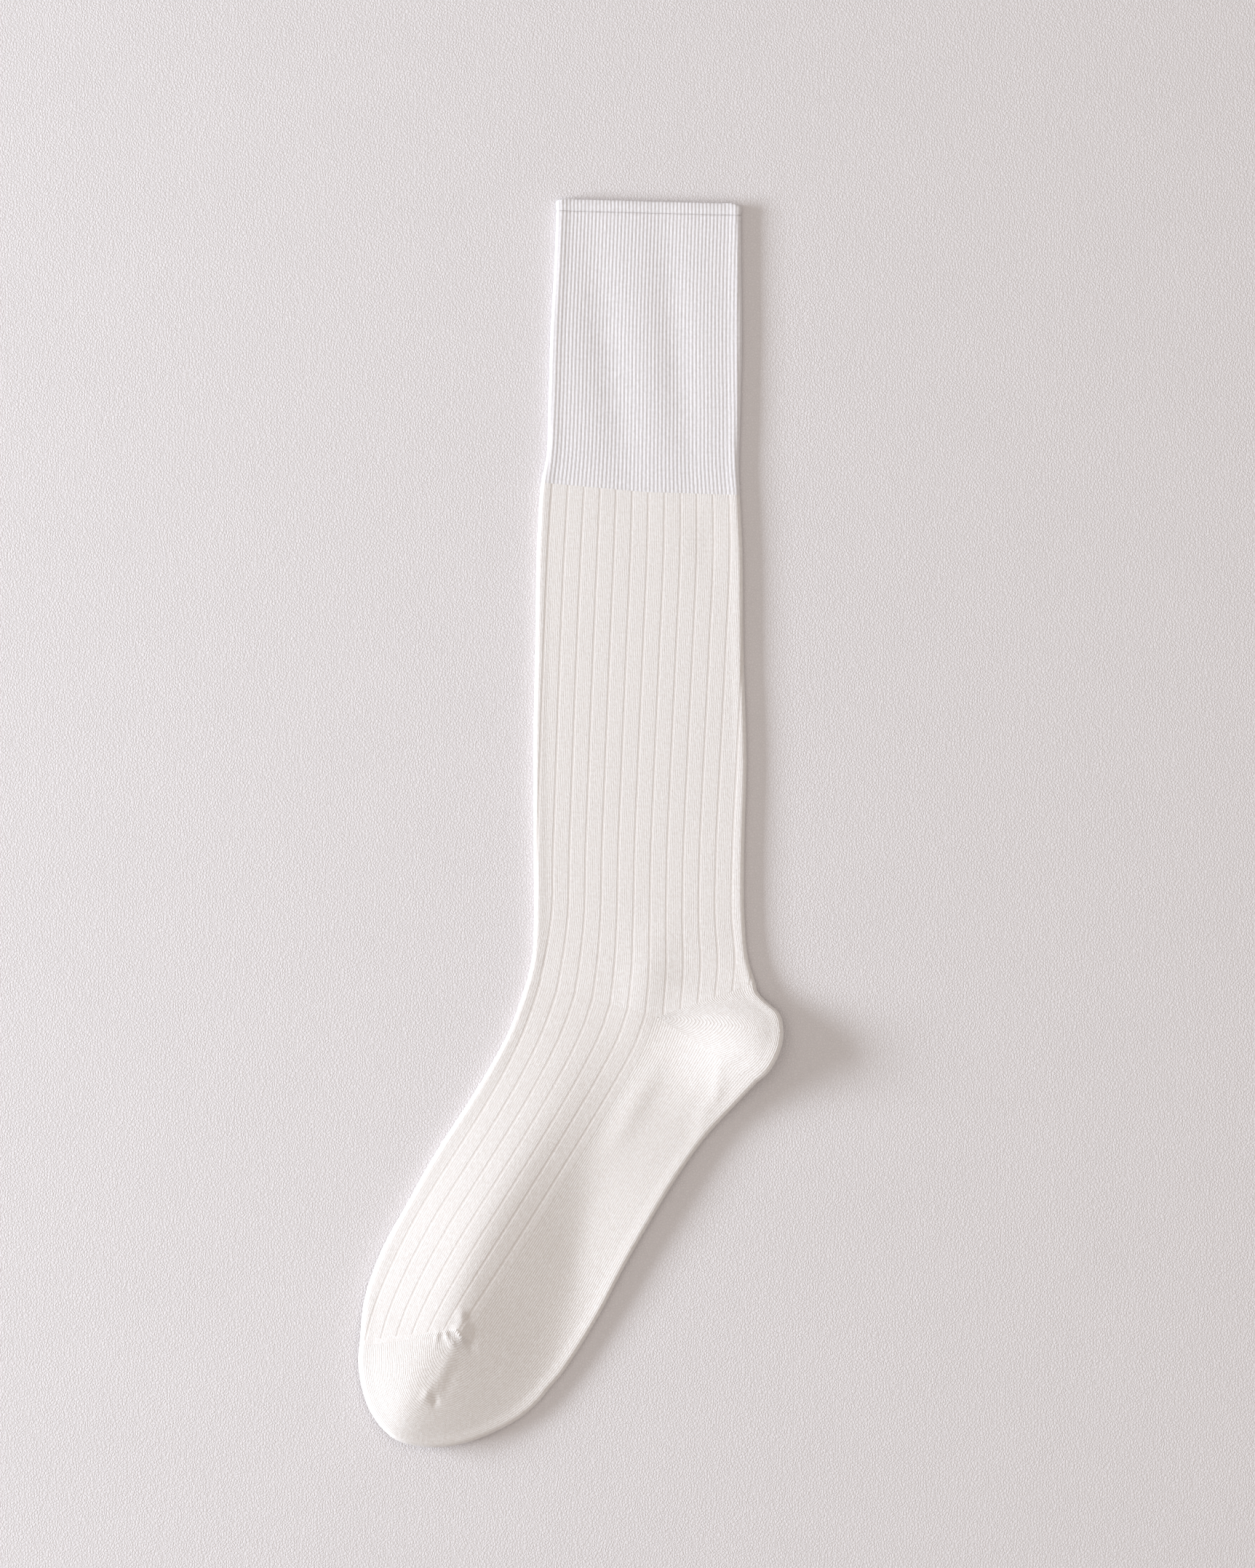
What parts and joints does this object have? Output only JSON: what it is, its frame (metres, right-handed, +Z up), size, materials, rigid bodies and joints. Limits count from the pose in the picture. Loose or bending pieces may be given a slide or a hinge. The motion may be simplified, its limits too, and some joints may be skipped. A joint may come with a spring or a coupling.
{
  "type": "knee sock",
  "caption": "Fine knitted knee sock laid flat on its side, hollow and open at the top, with a ribbed cuff, wide leg ribs, and turned heel and toe.",
  "frame": {"origin": "middle of the sock's box, on the plane that it lies on", "axes": "+Y up the leg to the open top, +X to the heel's side, +Z up from the plane that it lies on"},
  "size_m": [0.1664, 0.4894, 0.0166],
  "materials": {
    "white_rib_knit": "cool white 1x1 rib knit, matt",
    "cream_rib_knit": "cream knit in wide ribs between dropped needles, soft sheen",
    "cream_plain_knit": "cream plain knit, soft sheen"
  },
  "bodies": {
    "root": {"welt": "white_rib_knit", "cuff": "white_rib_knit", "leg": "cream_rib_knit", "heel": "cream_plain_knit", "foot": "cream_rib_knit", "toe": "cream_plain_knit", "toe_seam": "cream_plain_knit"}
  },
  "joints": []
}
